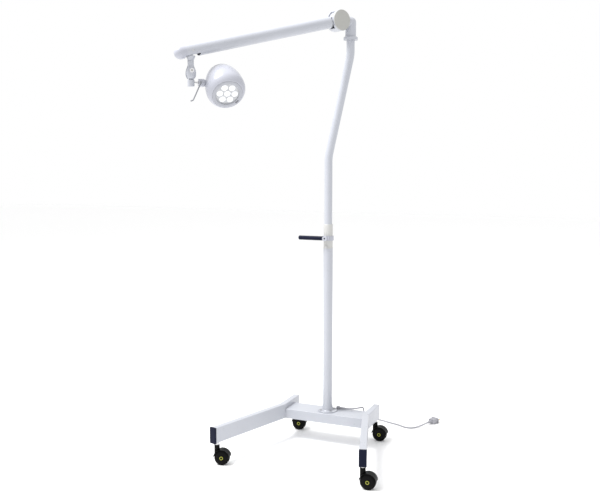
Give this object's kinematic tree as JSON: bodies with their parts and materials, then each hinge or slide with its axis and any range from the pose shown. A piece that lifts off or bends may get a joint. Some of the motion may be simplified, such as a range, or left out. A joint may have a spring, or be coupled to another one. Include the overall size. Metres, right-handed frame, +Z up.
{
  "type": "examination lamp",
  "caption": "Mobile medical examination lamp: wheeled base with splayed legs, telescopic cranked mast, balanced tilting arm and a round LED lamp head on a swivelling drop link.",
  "frame": {"origin": "on the floor, on the axis of the lower mast tube", "axes": "+Z up along the mast; -Y the front of the base, where the two open legs point; +X to the right of someone who stands in front and looks at the mast, the side to which the crank of the upper mast is offset at rest"},
  "size_m": [0.6981, 1.0618, 1.723],
  "materials": {
    "powder_white": "gloss powder coat",
    "cap_navy": "satin",
    "caster_black": "satin",
    "wheel_tread": "matte",
    "cover_grey": "satin",
    "sleeve_grey": "satin",
    "moulded_white": "gloss",
    "bezel_grey": "satin",
    "lens_face": "satin",
    "led_glow": "clear, lit from behind",
    "bright_steel": "bright",
    "chromed": "polished",
    "board_white": "matte",
    "sink_aluminium": "extruded",
    "cord_grey": "satin",
    "tie_black": "matte",
    "pin_brass": "bright"
  },
  "bodies": {
    "base": {"left_leg": "powder_white", "right_leg": "powder_white", "cross_beam": "powder_white", "leg_end_caps": "cap_navy", "caster_stems": "bright_steel", "mast_flange": "powder_white", "flange_screws": "bright_steel", "lower_mast": "powder_white", "clamp_sleeve": "sleeve_grey", "lock_screw": "bright_steel", "handle_bracket": "moulded_white", "handle_grip": "cap_navy", "cable_gland": "cord_grey", "cord_lead": "cord_grey", "cord_run": "cord_grey", "cord_coil": "cord_grey", "coil_tie": "tie_black", "plug_body": "cord_grey", "plug_pins": "pin_brass"},
    "front_left_caster": {"front_left_caster_housing": "caster_black", "front_left_caster_axle": "bright_steel"},
    "front_left_inner_wheel": {"front_left_wheel_inner": "wheel_tread"},
    "front_left_outer_wheel": {"front_left_wheel_outer": "wheel_tread"},
    "rear_left_caster": {"rear_left_caster_housing": "caster_black", "rear_left_caster_axle": "bright_steel"},
    "rear_left_inner_wheel": {"rear_left_wheel_inner": "wheel_tread"},
    "rear_left_outer_wheel": {"rear_left_wheel_outer": "wheel_tread"},
    "front_right_caster": {"front_right_caster_housing": "caster_black", "front_right_caster_axle": "bright_steel"},
    "front_right_inner_wheel": {"front_right_wheel_inner": "wheel_tread"},
    "front_right_outer_wheel": {"front_right_wheel_outer": "wheel_tread"},
    "rear_right_caster": {"rear_right_caster_housing": "caster_black", "rear_right_caster_axle": "bright_steel"},
    "rear_right_inner_wheel": {"rear_right_wheel_inner": "wheel_tread"},
    "rear_right_outer_wheel": {"rear_right_wheel_outer": "wheel_tread"},
    "mast_upper": {"upper_mast": "powder_white", "swivel_spindle": "bright_steel"},
    "elbow": {"elbow_drum": "powder_white", "arm_hinge_pin": "bright_steel", "drum_covers": "cover_grey"},
    "arm": {"arm_tube": "powder_white", "arm_root": "powder_white", "balance_spring": "bright_steel", "tip_cap": "moulded_white", "tip_pin": "bright_steel"},
    "parallel_rod": {"parallel_rod": "bright_steel"},
    "tip_hub": {"tip_hub": "powder_white"},
    "drop_link": {"drop_link": "powder_white", "knuckle_bolt": "chromed"},
    "knuckle": {"knuckle_block": "powder_white", "head_pin": "bright_steel"},
    "head": {"head_shell": "moulded_white", "bezel_ring": "bezel_grey", "lens_plate": "lens_face", "led_lenses": "led_glow", "led_board": "board_white", "heat_sink": "sink_aluminium", "head_stem": "moulded_white", "aiming_rod": "powder_white"},
    "switch_button": {"switch_button": "bezel_grey"}
  },
  "joints": [
    {"name": "front_left_caster_swivel", "type": "hinge", "parent": "base", "child": "front_left_caster", "pos_m": [-0.29231, -0.41071, 0.08], "axis": [0, 0, 1], "continuous": true},
    {"name": "front_left_inner_wheel_spin", "type": "hinge", "parent": "front_left_caster", "child": "front_left_inner_wheel", "pos_m": [-0.27291, -0.40587, 0.0285], "axis": [-0.2419, 0.9703, 0], "continuous": true},
    {"name": "front_left_outer_wheel_spin", "type": "hinge", "parent": "front_left_caster", "child": "front_left_outer_wheel", "pos_m": [-0.27291, -0.40587, 0.0285], "axis": [-0.2419, 0.9703, 0], "continuous": true},
    {"name": "rear_left_caster_swivel", "type": "hinge", "parent": "base", "child": "rear_left_caster", "pos_m": [-0.181, 0.08, 0.08], "axis": [0, 0, 1], "continuous": true},
    {"name": "rear_left_inner_wheel_spin", "type": "hinge", "parent": "rear_left_caster", "child": "rear_left_inner_wheel", "pos_m": [-0.1612, 0.08278, 0.0285], "axis": [-0.1392, 0.9903, 0], "continuous": true},
    {"name": "rear_left_outer_wheel_spin", "type": "hinge", "parent": "rear_left_caster", "child": "rear_left_outer_wheel", "pos_m": [-0.1612, 0.08278, 0.0285], "axis": [-0.1392, 0.9903, 0], "continuous": true},
    {"name": "front_right_caster_swivel", "type": "hinge", "parent": "base", "child": "front_right_caster", "pos_m": [0.29231, -0.41071, 0.08], "axis": [0, 0, 1], "continuous": true},
    {"name": "front_right_inner_wheel_spin", "type": "hinge", "parent": "front_right_caster", "child": "front_right_inner_wheel", "pos_m": [0.3122, -0.40862, 0.0285], "axis": [-0.1045, 0.9945, 0], "continuous": true},
    {"name": "front_right_outer_wheel_spin", "type": "hinge", "parent": "front_right_caster", "child": "front_right_outer_wheel", "pos_m": [0.3122, -0.40862, 0.0285], "axis": [-0.1045, 0.9945, 0], "continuous": true},
    {"name": "rear_right_caster_swivel", "type": "hinge", "parent": "base", "child": "rear_right_caster", "pos_m": [0.181, 0.08, 0.08], "axis": [0, 0, 1], "continuous": true},
    {"name": "rear_right_inner_wheel_spin", "type": "hinge", "parent": "rear_right_caster", "child": "rear_right_inner_wheel", "pos_m": [0.20097, 0.08105, 0.0285], "axis": [-0.0523, 0.9986, 0], "continuous": true},
    {"name": "rear_right_outer_wheel_spin", "type": "hinge", "parent": "rear_right_caster", "child": "rear_right_outer_wheel", "pos_m": [0.20097, 0.08105, 0.0285], "axis": [-0.0523, 0.9986, 0], "continuous": true},
    {"name": "mast_slide", "type": "slide", "parent": "base", "child": "mast_upper", "axis": [0, 0, 1], "range_m": [-0.24, 0.06]},
    {"name": "arm_swivel", "type": "hinge", "parent": "mast_upper", "child": "elbow", "pos_m": [0.09, 0, 1.64], "axis": [0, 0, 1], "range_deg": [-165, 165]},
    {"name": "arm_tilt", "type": "hinge", "parent": "elbow", "child": "arm", "pos_m": [0.05715, -0.05258, 1.6835], "axis": [0.848, -0.5299, 0], "range_deg": [-20, 18]},
    {"name": "parallel_rod_tilt", "type": "hinge", "parent": "elbow", "child": "parallel_rod", "pos_m": [0.05715, -0.05258, 1.6955], "axis": [0.848, -0.5299, 0], "range_deg": [-20, 18]},
    {"name": "tip_hub_tilt", "type": "hinge", "parent": "arm", "child": "tip_hub", "pos_m": [-0.27761, -0.58829, 1.5233], "axis": [0.848, -0.5299, 0], "range_deg": [-18, 20]},
    {"name": "drop_link_swivel", "type": "hinge", "parent": "tip_hub", "child": "drop_link", "pos_m": [-0.27761, -0.58829, 1.4883], "axis": [0, 0, 1], "range_deg": [-170, 170]},
    {"name": "knuckle_tilt", "type": "hinge", "parent": "drop_link", "child": "knuckle", "pos_m": [-0.27761, -0.58829, 1.4563], "axis": [-0.6896, 0.7242, 0], "range_deg": [-12, 60]},
    {"name": "head_tilt", "type": "hinge", "parent": "knuckle", "child": "head", "pos_m": [-0.27761, -0.58829, 1.4168], "axis": [0.7242, 0.6896, 0], "range_deg": [-60, 95]},
    {"name": "switch_press", "type": "slide", "parent": "head", "child": "switch_button", "axis": [0.5337, -0.5604, -0.6334], "range_m": [0, 0.0015], "stiffness_N_per_m": 800, "springref_m": -0.0005}
  ],
  "couplings": [
    {"joint": "parallel_rod_tilt", "follows": "arm_tilt", "ratio": 1},
    {"joint": "tip_hub_tilt", "follows": "arm_tilt", "ratio": -1}
  ]
}
